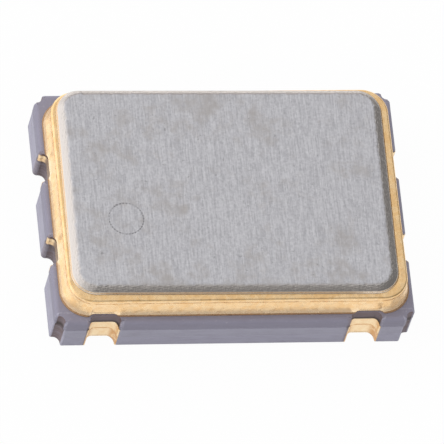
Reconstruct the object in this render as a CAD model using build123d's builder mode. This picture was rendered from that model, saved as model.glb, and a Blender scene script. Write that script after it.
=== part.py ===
from build123d import *
import os

os.makedirs("parts", exist_ok=True)

# Ceramic package: outline, and the heights of its layers from the solder face up
body_length = 7.0
body_width = 5.0
plating_height = 0.02
base_height = 0.33
shelf_height = 0.285
contact_height = 0.215
rim_height = 0.06
overrun = 0.1

# Edge notches, smaller in the upper layers than in the lower ones
terminal_pitch = 5.08
side_contact_pitch = 1.81
upper_notch_width = 0.585
upper_notch_depth = 0.18
upper_notch_corner = 0.14
lower_notch_width = 0.595
lower_notch_depth = 0.23
lower_notch_corner = 0.18
upper_corner_notch = 0.17
lower_corner_notch = 0.20

# Solder terminals: a pad under the base and the lining of a notch
lining_thickness = 0.015
pad_length = 1.40
pad_reach = 1.15
pad_setback = 0.06
pad_corner = 0.12

# Seal: plated land, braze, ring and lid
land_margin = 0.13
land_corner = 0.56
land_thickness = 0.015
land_inner_lip = 0.05
ring_margin = 0.21
ring_corner = 0.50
ring_wall = 0.40
ring_inner_corner = 0.25
ring_height = 0.455
ring_edge_radius = 0.04
braze_thickness = 0.02
braze_toe_setback = 0.01
braze_toe_height = 0.012
braze_knee_setback = 0.035
braze_knee_height = 0.07
braze_tip_width = 0.006
braze_rise = 0.38
lid_setback = 0.12
lid_corner = 0.55
lid_thickness = 0.10
lid_rim_width = 0.15
lid_rim_drop = 0.05

# Where the lid lies on the ring as it was welded: off the middle, and turned in degrees
lid_shift_x = -0.02
lid_shift_y = 0.03
lid_turn = -0.5

# Stepped cavity
rim_wall = 0.75
rim_opening_corner = 0.25
contact_step = 0.10
crystal_ledge_width = 0.65
bond_opening_corner = 0.20
well_corner = 0.15

# Oscillator chip and what it is glued to
chip_length = 1.70
chip_width = 1.30
chip_height = 0.18
die_pad_margin = 0.10
die_pad_thickness = 0.012
die_attach_margin = 0.03
die_attach_thickness = 0.02
well_clearance = 0.25
chip_pad_size = 0.09
chip_pad_height = 0.005
chip_pad_inset = 0.08
inner_pad_share = 0.19
outer_pad_share = 0.38
terminal_pad_share = 0.30

# Printed leads between the layers
lead_width = 0.20
lead_thickness = 0.012
lead_spacing = 0.32
finger_setback = 0.06
finger_bond_inset = 0.12
terminal_finger_share = 0.40

# Bond wires
wire_diameter = 0.03
wire_sides = 6
ball_diameter = 0.075
ball_sides = 12
ball_height = 0.025
stitch_length = 0.09
stitch_width = 0.05
stitch_height = 0.02
loop_rise = 0.12
loop_bend_radius = 0.05
loop_flat_share = 0.35

# Quartz blank, its electrodes and its seat
blank_thickness = 0.08
blank_end_clearance = 0.10
blank_tip_clearance = 0.40
blank_width = 1.90
film_thickness = 0.005
electrode_length = 2.40
electrode_edge_margin = 0.22
tab_width = 0.34
tab_reach = 0.46
crystal_land_size = 0.42
crystal_land_inset = 0.25
crystal_land_thickness = 0.012
via_diameter = 0.10
adhesive_diameter = 0.36
adhesive_height = 0.03
adhesive_flare = 0.02

# Heights of the faces that pieces sit on
floor_level = plating_height + base_height
shelf_level = floor_level + shelf_height
ledge_level = shelf_level + contact_height
rim_level = ledge_level + rim_height
land_level = rim_level + land_thickness
ring_level = land_level + braze_thickness
lid_level = ring_level + ring_height
finger_level = shelf_level + lead_thickness
attach_level = floor_level + die_pad_thickness
chip_level = attach_level + die_attach_thickness
chip_top = chip_level + chip_height
wire_level = chip_top + chip_pad_height
adhesive_level = ledge_level + crystal_land_thickness
blank_level = adhesive_level + adhesive_height + film_thickness
blank_top = blank_level + blank_thickness

# Sizes and centres that follow from the ones above
ring_length = body_length - 2 * ring_margin
ring_width = body_width - 2 * ring_margin
ring_opening_length = ring_length - 2 * ring_wall
ring_opening_width = ring_width - 2 * ring_wall
rim_opening_length = body_length - 2 * rim_wall
rim_opening_width = body_width - 2 * rim_wall
bond_opening_left = crystal_ledge_width - rim_opening_length / 2
bond_opening_right = rim_opening_length / 2 - contact_step
bond_opening_length = bond_opening_right - bond_opening_left
bond_opening_width = rim_opening_width - 2 * contact_step
chip_x = (bond_opening_left + bond_opening_right) / 2
die_pad_length = chip_length + 2 * die_pad_margin
die_pad_width = chip_width + 2 * die_pad_margin
well_length = die_pad_length + 2 * well_clearance
well_width = die_pad_width + 2 * well_clearance
blank_left = blank_end_clearance - rim_opening_length / 2
blank_right = rim_opening_length / 2 - blank_tip_clearance
blank_length = blank_right - blank_left
blank_x = (blank_left + blank_right) / 2
crystal_land_x = blank_left + crystal_land_inset
crystal_land_y = side_contact_pitch / 2 - lead_spacing

# The four quarters in pin order, seen from above, and the notches in each
quarters = [(-1, -1), (1, -1), (1, 1), (-1, 1)]
terminal_places = [(sx * terminal_pitch / 2, sy * body_width / 2) for sx, sy in quarters]
side_places = [(sx * body_length / 2, sy * side_contact_pitch / 2) for sx, sy in quarters]
corner_places = [(sx * body_length / 2, sy * body_width / 2) for sx, sy in quarters]
crystal_land_places = [(crystal_land_x, sy * crystal_land_y) for sy in (-1, 1)]


# Outline of the body with every edge notch cut in
def body_outline(notch_width, notch_depth, notch_corner, corner_radius):
    with BuildSketch() as outline:
        Rectangle(body_length, body_width)
        with Locations(*corner_places):
            Circle(corner_radius, mode=Mode.SUBTRACT)
        with Locations(*terminal_places):
            RectangleRounded(notch_width, 2 * notch_depth, notch_corner, mode=Mode.SUBTRACT)
        with Locations(*side_places):
            RectangleRounded(2 * notch_depth, notch_width, notch_corner, mode=Mode.SUBTRACT)
    return outline.sketch


# Strip of plating on the wall of one notch, inside the body's outline
def notch_lining(place, across, along, corner):
    with BuildSketch() as lining:
        with Locations(place):
            RectangleRounded(across, along, corner)
            offset(amount=-lining_thickness, mode=Mode.SUBTRACT)
        Rectangle(body_length, body_width, mode=Mode.INTERSECT)
    return lining.sketch


# Flat strip that follows a route on the shelf
def lead_strip(route):
    with BuildSketch() as strip:
        with BuildLine():
            Polyline(*route)
        trace(line_width=lead_width)
    return strip.sketch


upper_outline = body_outline(upper_notch_width, upper_notch_depth, upper_notch_corner, upper_corner_notch)
lower_outline = body_outline(lower_notch_width, lower_notch_depth, lower_notch_corner, lower_corner_notch)

# Lead routes from the edge of the chip's well: terminals, side contacts, then the crystal
lead_routes = []
chip_pad_places = []
finger_places = []
lane_y = (bond_opening_width / 2 + body_width / 2 - lower_notch_depth) / 2
terminal_finger_y = well_width / 2 + finger_setback
terminal_bond_y = terminal_finger_y + finger_bond_inset
terminal_lead_end = body_width / 2 - lower_notch_depth + lining_thickness
for sx, sy in quarters:
    finger_x = chip_x + sx * terminal_finger_share * chip_length
    lead_routes.append([
        (finger_x, sy * terminal_finger_y),
        (finger_x, sy * lane_y),
        (sx * terminal_pitch / 2, sy * lane_y),
        (sx * terminal_pitch / 2, sy * terminal_lead_end),
    ])
    pad_x = chip_x + sx * terminal_pad_share * chip_length
    chip_pad_places.append((pad_x, sy * (chip_width / 2 - chip_pad_inset)))
    finger_places.append((finger_x, sy * terminal_bond_y))

side_finger_reach = well_length / 2 + finger_setback
side_bond_reach = side_finger_reach + finger_bond_inset
side_pad_reach = chip_length / 2 - chip_pad_inset
side_lead_end = body_length / 2 - upper_notch_depth
for sx, sy in quarters:
    lead_y = sy * side_contact_pitch / 2
    lead_routes.append([(chip_x + sx * side_finger_reach, lead_y), (sx * side_lead_end, lead_y)])
    chip_pad_places.append((chip_x + sx * side_pad_reach, sy * outer_pad_share * chip_width))
    finger_places.append((chip_x + sx * side_bond_reach, lead_y))

for land_x, land_y in crystal_land_places:
    lead_routes.append([(chip_x - side_finger_reach, land_y), (land_x - lead_width / 2, land_y)])
    side = land_y / crystal_land_y
    chip_pad_places.append((chip_x - side_pad_reach, side * inner_pad_share * chip_width))
    finger_places.append((chip_x - side_bond_reach, land_y))

lead_strips = [lead_strip(route) for route in lead_routes]

# Ceramic body: fired as one piece, with the stepped cavity and room for the buried leads
with BuildPart() as ceramic_body:
    with BuildSketch(Plane.XY.offset(plating_height)):
        add(lower_outline)
    extrude(amount=base_height + shelf_height)
    with BuildSketch(Plane.XY.offset(shelf_level)):
        add(upper_outline)
    extrude(amount=contact_height + rim_height)
    with BuildSketch(Plane.XY.offset(floor_level)):
        with Locations((chip_x, 0)):
            RectangleRounded(well_length, well_width, well_corner)
    extrude(amount=shelf_height, mode=Mode.SUBTRACT)
    with BuildSketch(Plane.XY.offset(shelf_level)):
        with Locations((chip_x, 0)):
            RectangleRounded(bond_opening_length, bond_opening_width, bond_opening_corner)
    extrude(amount=contact_height, mode=Mode.SUBTRACT)
    with BuildSketch(Plane.XY.offset(ledge_level)):
        RectangleRounded(rim_opening_length, rim_opening_width, rim_opening_corner)
    extrude(amount=rim_height + overrun, mode=Mode.SUBTRACT)
    with BuildSketch(Plane.XY.offset(shelf_level)):
        add(lead_strips)
    extrude(amount=lead_thickness, mode=Mode.SUBTRACT)
    with BuildSketch(Plane.XY.offset(finger_level)):
        with Locations(*crystal_land_places):
            Circle(via_diameter / 2)
    extrude(amount=ledge_level - finger_level, mode=Mode.SUBTRACT)
ceramic_body.part.label = "ceramic_body"
export_step(ceramic_body.part, "parts/ceramic_body.step")

# Solder terminals, one in each quarter
for number, (place_x, place_y) in enumerate(terminal_places, start=1):
    side = place_y / abs(place_y)
    pad_y = place_y - side * (pad_setback + pad_reach) / 2
    lining = notch_lining((place_x, place_y), lower_notch_width, 2 * lower_notch_depth, lower_notch_corner)
    with BuildPart() as terminal:
        with BuildSketch():
            with Locations((place_x, pad_y)):
                RectangleRounded(pad_length, pad_reach - pad_setback, pad_corner)
            with Locations((place_x, place_y)):
                RectangleRounded(
                    lower_notch_width - 2 * lining_thickness,
                    2 * (lower_notch_depth - lining_thickness),
                    lower_notch_corner - lining_thickness,
                    mode=Mode.SUBTRACT,
                )
        extrude(amount=plating_height)
        with BuildSketch(Plane.XY.offset(plating_height)):
            add(lining)
        extrude(amount=base_height + shelf_height)
    terminal.part.label = f"terminal_{number}"
    export_step(terminal.part, f"parts/terminal_{number}.step")

# Side contacts, linings that stop at the layer lines above and below
for number, place in enumerate(side_places, start=1):
    lining = notch_lining(place, 2 * upper_notch_depth, upper_notch_width, upper_notch_corner)
    with BuildPart() as side_contact:
        with BuildSketch(Plane.XY.offset(shelf_level)):
            add(lining)
        extrude(amount=contact_height)
    side_contact.part.label = f"side_contact_{number}"
    export_step(side_contact.part, f"parts/side_contact_{number}.step")

# Printed leads
for number, strip in enumerate(lead_strips, start=1):
    with BuildPart() as lead:
        with BuildSketch(Plane.XY.offset(shelf_level)):
            add(strip)
        extrude(amount=lead_thickness)
    lead.part.label = f"lead_{number}"
    export_step(lead.part, f"parts/lead_{number}.step")

# Gold land on the rim, cut back at the notches
with BuildPart() as seal_land:
    with BuildSketch(Plane.XY.offset(rim_level)):
        RectangleRounded(body_length - 2 * land_margin, body_width - 2 * land_margin, land_corner)
        add(upper_outline, mode=Mode.INTERSECT)
        RectangleRounded(
            ring_opening_length - 2 * land_inner_lip,
            ring_opening_width - 2 * land_inner_lip,
            ring_inner_corner,
            mode=Mode.SUBTRACT,
        )
    extrude(amount=land_thickness)
seal_land.part.label = "seal_land"
export_step(seal_land.part, "parts/seal_land.step")

# Braze under the ring, with a hollow fillet that climbs its outer wall: setback from the land's edge, height
braze_profile = [
    (braze_toe_setback, 0),
    (braze_toe_setback, braze_toe_height),
    (braze_knee_setback, braze_knee_height),
    (ring_margin - land_margin - braze_tip_width, braze_rise),
]
with BuildPart() as braze_joint:
    for setback, height in braze_profile:
        margin = land_margin + setback
        corner_share = setback / (ring_margin - land_margin)
        with BuildSketch(Plane.XY.offset(land_level + height)):
            RectangleRounded(
                body_length - 2 * margin,
                body_width - 2 * margin,
                land_corner + corner_share * (ring_corner - land_corner),
            )
    loft(ruled=True)
    with BuildSketch(Plane.XY.offset(ring_level)):
        RectangleRounded(ring_length, ring_width, ring_corner)
    extrude(amount=braze_rise, mode=Mode.SUBTRACT)
    with BuildSketch(Plane.XY.offset(land_level)):
        RectangleRounded(ring_opening_length, ring_opening_width, ring_inner_corner)
    extrude(amount=braze_thickness, mode=Mode.SUBTRACT)
    with BuildSketch(Plane.XY.offset(land_level)):
        add(upper_outline)
    extrude(amount=braze_rise, mode=Mode.INTERSECT)
braze_joint.part.label = "braze_joint"
export_step(braze_joint.part, "parts/braze_joint.step")

# Seal ring
with BuildPart() as seal_ring:
    with BuildSketch(Plane.XY.offset(ring_level)):
        RectangleRounded(ring_length, ring_width, ring_corner)
        RectangleRounded(ring_opening_length, ring_opening_width, ring_inner_corner, mode=Mode.SUBTRACT)
    extrude(amount=ring_height)
    ring_top = seal_ring.faces().sort_by(Axis.Z)[-1]
    fillet(ring_top.outer_wire().edges(), radius=ring_edge_radius)
seal_ring.part.label = "seal_ring"
export_step(seal_ring.part, "parts/seal_ring.step")

# Lid with its rolled rim
with BuildPart() as lid:
    with BuildSketch(Plane.XY.offset(lid_level)):
        with Locations(Location((lid_shift_x, lid_shift_y), lid_turn)):
            RectangleRounded(ring_length - 2 * lid_setback, ring_width - 2 * lid_setback, lid_corner)
    extrude(amount=lid_thickness)
    lid_top = lid.faces().sort_by(Axis.Z)[-1]
    chamfer(
        lid_top.outer_wire().edges(),
        length=lid_rim_width,
        length2=lid_rim_drop,
        reference=lid_top,
    )
lid.part.label = "lid"
export_step(lid.part, "parts/lid.step")

# Plated pad, adhesive film and chip in the well
with BuildPart() as die_pad:
    with BuildSketch(Plane.XY.offset(floor_level)):
        with Locations((chip_x, 0)):
            Rectangle(die_pad_length, die_pad_width)
    extrude(amount=die_pad_thickness)
die_pad.part.label = "die_pad"
export_step(die_pad.part, "parts/die_pad.step")

with BuildPart() as die_attach:
    with BuildSketch(Plane.XY.offset(attach_level)):
        with Locations((chip_x, 0)):
            Rectangle(chip_length + 2 * die_attach_margin, chip_width + 2 * die_attach_margin)
    extrude(amount=die_attach_thickness)
die_attach.part.label = "die_attach"
export_step(die_attach.part, "parts/die_attach.step")

with BuildPart() as oscillator_chip:
    with BuildSketch(Plane.XY.offset(chip_level)):
        with Locations((chip_x, 0)):
            Rectangle(chip_length, chip_width)
    extrude(amount=chip_height)
oscillator_chip.part.label = "oscillator_chip"
export_step(oscillator_chip.part, "parts/oscillator_chip.step")

with BuildPart() as chip_bond_pads:
    with BuildSketch(Plane.XY.offset(chip_top)):
        with Locations(*chip_pad_places):
            Rectangle(chip_pad_size, chip_pad_size)
    extrude(amount=chip_pad_height)
chip_bond_pads.part.label = "chip_bond_pads"
export_step(chip_bond_pads.part, "parts/chip_bond_pads.step")

# Bond wires: a squashed ball on the chip's pad, a loop and a flattened stitch on the lead
climb = finger_level - wire_level
loop_height = max(climb, 0) + loop_rise
for number, (pad_place, finger_place) in enumerate(zip(chip_pad_places, finger_places), start=1):
    reach = Vector(*finger_place) - Vector(*pad_place)
    span = reach.length
    loop_plane = Plane(origin=(*pad_place, wire_level), x_dir=reach, z_dir=reach.cross(Vector(0, 0, 1)))
    stitch_plane = Plane(origin=(*finger_place, finger_level), x_dir=reach, z_dir=(0, 0, 1))
    with BuildPart() as bond_wire:
        with BuildLine(loop_plane) as loop:
            FilletPolyline(
                (0, ball_height / 2),
                (0, loop_height),
                (loop_flat_share * span, loop_height),
                (span, climb + stitch_height),
                radius=loop_bend_radius,
            )
        with BuildSketch(Plane(origin=loop.line @ 0, z_dir=loop.line % 0)):
            RegularPolygon(wire_diameter / 2, side_count=wire_sides)
        sweep(path=loop.line)
        with BuildSketch(Plane.XY.offset(wire_level)):
            with Locations(pad_place):
                RegularPolygon(ball_diameter / 2, side_count=ball_sides)
        extrude(amount=ball_height)
        with BuildSketch(stitch_plane):
            Rectangle(stitch_length, stitch_width)
        extrude(amount=stitch_height)
    bond_wire.part.label = f"bond_wire_{number}"
    export_step(bond_wire.part, f"parts/bond_wire_{number}.step")

# Crystal seat: land, filled via below it and adhesive dot above it
for number, (land_x, land_y) in enumerate(crystal_land_places, start=1):
    with BuildPart() as crystal_via:
        with BuildSketch(Plane.XY.offset(finger_level)):
            with Locations((land_x, land_y)):
                Circle(via_diameter / 2)
        extrude(amount=ledge_level - finger_level)
    crystal_via.part.label = f"crystal_via_{number}"
    export_step(crystal_via.part, f"parts/crystal_via_{number}.step")

    with BuildPart() as crystal_land:
        with BuildSketch(Plane.XY.offset(ledge_level)):
            with Locations((land_x, land_y)):
                Rectangle(crystal_land_size, crystal_land_size)
        extrude(amount=crystal_land_thickness)
    crystal_land.part.label = f"crystal_land_{number}"
    export_step(crystal_land.part, f"parts/crystal_land_{number}.step")

    dot_plane = Plane(origin=(land_x, land_y, adhesive_level), x_dir=(1, 0, 0), z_dir=(0, -1, 0))
    dot_radius = adhesive_diameter / 2
    with BuildPart() as adhesive_dot:
        with BuildSketch(dot_plane):
            with BuildLine():
                Polyline(
                    (0, 0),
                    (dot_radius + adhesive_flare, 0),
                    (dot_radius, adhesive_height),
                    (0, adhesive_height),
                    close=True,
                )
            make_face()
        revolve(axis=Axis((land_x, land_y, adhesive_level), (0, 0, 1)))
    adhesive_dot.part.label = f"adhesive_dot_{number}"
    export_step(adhesive_dot.part, f"parts/adhesive_dot_{number}.step")

# Quartz blank
with BuildPart() as quartz_blank:
    with BuildSketch(Plane.XY.offset(blank_level)):
        with Locations((blank_x, 0)):
            Rectangle(blank_length, blank_width)
    extrude(amount=blank_thickness)
quartz_blank.part.label = "quartz_blank"
export_step(quartz_blank.part, "parts/quartz_blank.step")


# One face's electrode: a patch at the middle and a tab to the held end
def electrode_patch(tab_y):
    patch_left = blank_x - electrode_length / 2
    with BuildSketch() as patch:
        with Locations((blank_x, 0)):
            Rectangle(electrode_length, blank_width - 2 * electrode_edge_margin)
        with Locations(((blank_left + patch_left) / 2, tab_y)):
            Rectangle(patch_left - blank_left, tab_width)
    return patch.sketch


with BuildPart() as electrode_bottom:
    with BuildSketch(Plane.XY.offset(blank_level - film_thickness)):
        add(electrode_patch(-crystal_land_y))
    extrude(amount=film_thickness)
electrode_bottom.part.label = "electrode_bottom"
export_step(electrode_bottom.part, "parts/electrode_bottom.step")

# The upper electrode folds round the held end to reach its adhesive dot
with BuildPart() as electrode_top:
    with BuildSketch(Plane.XY.offset(blank_top)):
        add(electrode_patch(crystal_land_y))
    extrude(amount=film_thickness)
    with BuildSketch(Plane.XZ.offset(-crystal_land_y)):
        with Locations((blank_left - film_thickness, blank_level - film_thickness)):
            Rectangle(
                tab_reach + film_thickness,
                blank_thickness + 2 * film_thickness,
                align=(Align.MIN, Align.MIN),
            )
        with Locations((blank_left, blank_level)):
            Rectangle(tab_reach, blank_thickness, align=(Align.MIN, Align.MIN), mode=Mode.SUBTRACT)
    extrude(amount=tab_width / 2, both=True)
electrode_top.part.label = "electrode_top"
export_step(electrode_top.part, "parts/electrode_top.step")
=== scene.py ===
import math
import bpy
import numpy as np
from mathutils import Matrix, Vector
from mathutils.geometry import tessellate_polygon


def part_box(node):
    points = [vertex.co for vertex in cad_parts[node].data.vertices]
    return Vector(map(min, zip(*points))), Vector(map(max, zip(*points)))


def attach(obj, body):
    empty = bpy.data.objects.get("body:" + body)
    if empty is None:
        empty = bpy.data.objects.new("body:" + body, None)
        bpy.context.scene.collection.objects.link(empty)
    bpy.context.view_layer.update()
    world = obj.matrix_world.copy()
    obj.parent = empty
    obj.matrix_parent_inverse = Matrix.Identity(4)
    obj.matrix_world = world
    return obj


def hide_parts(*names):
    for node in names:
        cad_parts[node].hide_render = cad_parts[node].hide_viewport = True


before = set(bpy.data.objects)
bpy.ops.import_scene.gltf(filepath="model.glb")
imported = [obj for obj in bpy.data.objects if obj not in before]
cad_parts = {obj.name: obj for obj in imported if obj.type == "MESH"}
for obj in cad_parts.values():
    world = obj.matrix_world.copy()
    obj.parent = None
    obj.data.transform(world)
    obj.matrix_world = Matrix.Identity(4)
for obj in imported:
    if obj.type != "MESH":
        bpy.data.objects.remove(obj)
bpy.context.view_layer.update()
mm = 0.001    # shapes are worked out in millimetres and put into meshes in metres
print("frame loaded:", len(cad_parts), "nodes")


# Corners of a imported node, in millimetres
def nodeBox(node):
    low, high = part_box(node)
    return np.array(low) / mm, np.array(high) / mm


bodyLow, bodyHigh = nodeBox("ceramic_body")
bodyHalf = bodyHigh[:2]
ringLow, ringHigh = nodeBox("seal_ring")
floorLevel = nodeBox("die_pad")[0][2]           # faces of the package's layers
shelfLevel = nodeBox("terminal_1")[1][2]
ledgeLevel = nodeBox("side_contact_1")[1][2]
terminalAt = sum(nodeBox("terminal_2"))[0] / 2      # notches lie this far from the middle of a side
contactAt = sum(nodeBox("side_contact_3"))[1] / 2
quarters = [(-1, -1), (1, -1), (1, 1), (-1, 1)]


# 0 below low, 1 above high, and a smooth curve between
def ease(values, low, high):
    t = np.clip((values - low) / (high - low), 0, 1)
    return t * t * (3 - 2 * t)


# Sum of cosines round a closed loop, each a whole number of waves so that the ends meet; with a
# climb, the waves lean as they go up
def ripple(share, waves, seed, climb=0.0, leans=0.0):
    phases = np.random.default_rng(seed).uniform(0, 2 * np.pi, len(waves))
    slant = np.multiply.outer(climb, np.broadcast_to(leans, len(waves)))
    angles = 2 * np.pi * (np.multiply.outer(share, waves) + slant) + phases
    return np.cos(angles).sum(axis=-1) / math.sqrt(len(waves))


# Polygon corners made round: each corner is an arc tangent to its two sides, then a straight run
# goes on to the next arc, with its points closer together near both ends
def roundedLoop(corners, radii, steps):
    before = corners - np.roll(corners, 1, axis=0)
    after = np.roll(corners, -1, axis=0) - corners
    before = before / np.linalg.norm(before, axis=1, keepdims=True)
    after = after / np.linalg.norm(after, axis=1, keepdims=True)
    cross = before[:, 0] * after[:, 1] - before[:, 1] * after[:, 0]
    turn = np.arctan2(cross, (before * after).sum(axis=1))
    reach = radii * np.tan(np.abs(turn) / 2)
    starts = corners - before * reach[:, None]
    leftward = np.stack([-before[:, 1], before[:, 0]], axis=1)
    centres = starts + leftward * (np.sign(turn) * radii)[:, None]
    spokes = (starts - centres)[:, None, :]
    swing = np.linspace(0, 1, steps["arc"] + 1)[None, :] * turn[:, None]
    arcX = spokes[..., 0] * np.cos(swing) - spokes[..., 1] * np.sin(swing)
    arcY = spokes[..., 0] * np.sin(swing) + spokes[..., 1] * np.cos(swing)
    arcs = centres[:, None, :] + np.stack([arcX, arcY], axis=-1)
    t = (1 - np.cos(np.pi * np.arange(1, steps["run"]) / steps["run"])) / 2
    leave = arcs[:, -1, None, :]
    arrive = np.roll(arcs[:, 0], -1, axis=0)[:, None, :]
    runs = leave + (arrive - leave) * t[None, :, None]
    return np.concatenate([arcs, runs], axis=1).reshape(-1, 2)


# How far round a loop each of its points lies, from 0 to 1
def loopShare(loop):
    steps = np.linalg.norm(np.roll(loop, -1, axis=0) - loop, axis=1)
    return (np.cumsum(steps) - steps) / steps.sum()


# Unit direction from each loop point towards the middle, square to the loop
def inwardOf(loop):
    ahead = np.roll(loop, -1, axis=0) - np.roll(loop, 1, axis=0)
    inward = np.stack([-ahead[:, 1], ahead[:, 0]], axis=1)
    return inward / np.linalg.norm(inward, axis=1, keepdims=True)


# Values round a loop, evened out with their neighbours
def smoothLoop(values, reach, passes=2):
    shifts = range(-reach, reach + 1)
    for times in range(passes):
        values = sum(np.roll(values, shift) for shift in shifts) / len(shifts)
    return values


# A loop lifted to its height
def atHeight(loop, z):
    return np.column_stack([loop, np.full(len(loop), z)])


# Quads of a grid of points whose columns, and rows if asked, close on themselves
def gridQuads(rows, columns, closedRows=False, closedColumns=True, first=0):
    row = np.arange(rows if closedRows else rows - 1)[:, None]
    column = np.arange(columns if closedColumns else columns - 1)[None, :]
    nextRow = (row + 1) % rows
    nextColumn = (column + 1) % columns
    quads = [row * columns + column, row * columns + nextColumn]
    quads += [nextRow * columns + nextColumn, nextRow * columns + column]
    return (np.stack(quads, axis=-1).reshape(-1, 4) + first).tolist()


# Two flat ends of a grid of loops: the first loop faces down and the last one up
def capFaces(rows, columns):
    return [list(range(columns))[::-1], list(range((rows - 1) * columns, rows * columns))]


# One value for each row of a grid, given to every point of that row
def alongRows(values, shape):
    return np.broadcast_to(values[:, None], shape)


# Flat ring between two loops, as triangles that all face up; their corners count through both loops
def fillBetween(outer, inner):
    flat = np.concatenate([outer, inner])
    corners = np.array(tessellate_polygon([atHeight(outer, 0).tolist(), atHeight(inner, 0).tolist()]))
    a, b, c = (flat[corners[:, k]] for k in range(3))
    turn = (b[:, 0] - a[:, 0]) * (c[:, 1] - a[:, 1]) - (b[:, 1] - a[:, 1]) * (c[:, 0] - a[:, 0])
    return np.where((turn > 0)[:, None], corners, corners[:, ::-1])[np.abs(turn) > 0]


# A new object, put into the scene
def addObject(name, data):
    made = bpy.data.objects.new(name, data)
    bpy.context.scene.collection.objects.link(made)
    return made


# A finished piece: mesh at the origin, smooth, with its own attributes, riding on the one body
def makePiece(name, points, faces, finish, nodes, marks, flat=()):
    mesh = bpy.data.meshes.new(name)
    mesh.from_pydata((points.reshape(-1, 3) * mm).tolist(), [], faces)
    smooth = np.ones(len(mesh.polygons), bool)
    smooth[list(flat)] = False
    mesh.polygons.foreach_set("use_smooth", smooth)
    for label, values in marks.items():
        layer = mesh.attributes.new(label, "FLOAT", "POINT")
        layer.data.foreach_set("value", np.asarray(values, np.float32).ravel())
    mesh.validate()
    mesh.materials.append(finish)
    piece = addObject(name, mesh)
    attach(piece, "root")
    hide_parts(*nodes)
    print("piece", name, len(mesh.polygons), "faces")


# One output of a node; sums and products of it add Math nodes
class Socket:
    def __init__(self, sheet, output):
        self.sheet = sheet
        self.output = output

    def calc(self, operation, first, second=0.0):
        return self.sheet.node("ShaderNodeMath", {"operation": operation}, {0: first, 1: second})

    def __add__(self, other):
        return self.calc("ADD", self, other)

    def __radd__(self, other):
        return self.calc("ADD", other, self)

    def __sub__(self, other):
        return self.calc("SUBTRACT", self, other)

    def __rsub__(self, other):
        return self.calc("SUBTRACT", other, self)

    def __mul__(self, other):
        return self.calc("MULTIPLY", self, other)

    def __rmul__(self, other):
        return self.calc("MULTIPLY", other, self)

    def __pow__(self, other):
        return self.calc("POWER", self, other)

    def __abs__(self):
        return self.calc("ABSOLUTE", self)

    def atMost(self, limit):
        return self.calc("MINIMUM", self, limit)

    def atLeast(self, limit):
        return self.calc("MAXIMUM", self, limit)


# One node tree; node() makes any node, with its settings first and then its inputs
class NodeSheet:
    def __init__(self, tree):
        self.tree = tree

    def node(self, kind, settings=None, inputs=None, output=0):
        made = self.tree.nodes.new(kind)
        for key, value in (settings or {}).items():
            setattr(made, key, value)
        for key, value in (inputs or {}).items():
            self.feed(made.inputs[key], value)
        return Socket(self, made.outputs[output])

    def feed(self, target, value):
        if isinstance(value, Socket):
            self.tree.links.new(value.output, target)
        else:
            target.default_value = value

    def end(self, kind, surface):
        self.feed(self.tree.nodes.new("ShaderNodeOutput" + kind).inputs["Surface"], surface)

    # object coordinates in millimetres, stretched along each axis
    def place(self, x=1.0, y=1.0, z=1.0):
        coords = self.node("ShaderNodeTexCoord", output="Object")
        stretch = (x / mm, y / mm, z / mm)
        return self.node("ShaderNodeVectorMath", {"operation": "MULTIPLY"}, {0: coords, 1: stretch})

    def axis(self, name):
        return self.node("ShaderNodeSeparateXYZ", None, {0: self.place()}, output=name)

    def mark(self, name):
        return self.node("ShaderNodeAttribute", {"attribute_name": name}, output="Fac")

    # the noises that a look names, each stretched if the look has a way for it
    def noises(self, look, *names):
        for name in names:
            where = self.place(*look.get(name + "Way", ()))
            inputs = dict(zip(("Vector", "Scale", "Detail", "Roughness"), (where, *look[name])))
            yield self.node("ShaderNodeTexNoise", None, inputs)

    def between(self, value, low, high):
        inputs = {"Value": value, "From Min": low, "From Max": high}
        return self.node("ShaderNodeMapRange", {"interpolation_type": "SMOOTHSTEP"}, inputs)

    # 1 at the level, falling to 0 at that distance either side
    def stripe(self, value, level, reach):
        return 1 - self.between(abs(value - level), 0.0, reach)

    # values added up, each times its own share
    def weigh(self, values, shares):
        return sum(share * value for share, value in zip(shares, values))

    def blend(self, share, first, second):
        return self.node("ShaderNodeMix", {"data_type": "RGBA"}, {0: share, 6: first, 7: second}, output=2)

    def bump(self, height, depth, under=None):
        inputs = {"Strength": 1.0, "Distance": depth * mm, "Height": height}
        if under:
            inputs["Normal"] = under
        return self.node("ShaderNodeBump", None, inputs)

    # 1 on rays of the kinds named
    def rays(self, *kinds):
        found = [self.node("ShaderNodeLightPath", output=f"Is {kind} Ray") for kind in kinds]
        return sum(found).atMost(1.0)


# Colour as it shows on screen, 0 to 255, turned into the linear values that a shader takes
def tone(red, green, blue):
    screen = np.array([red, green, blue]) / 255
    low = screen / 12.92
    high = ((screen + 0.055) / 1.055) ** 2.4
    return (*np.where(screen > 0.04045, high, low).tolist(), 1.0)


# A material with one Principled shader: fixed values go on its own sockets, the rest is linked
def makeFinish(name, paint, **fixed):
    material = bpy.data.materials.new(name)
    material.use_nodes = True
    sheet = NodeSheet(material.node_tree)
    shader = material.node_tree.nodes["Principled BSDF"]
    for key, value in fixed.items():
        shader.inputs[key.replace("_", " ")].default_value = value
    for key, value in paint(sheet).items():
        sheet.feed(shader.inputs[key], value)
    return material


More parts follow.
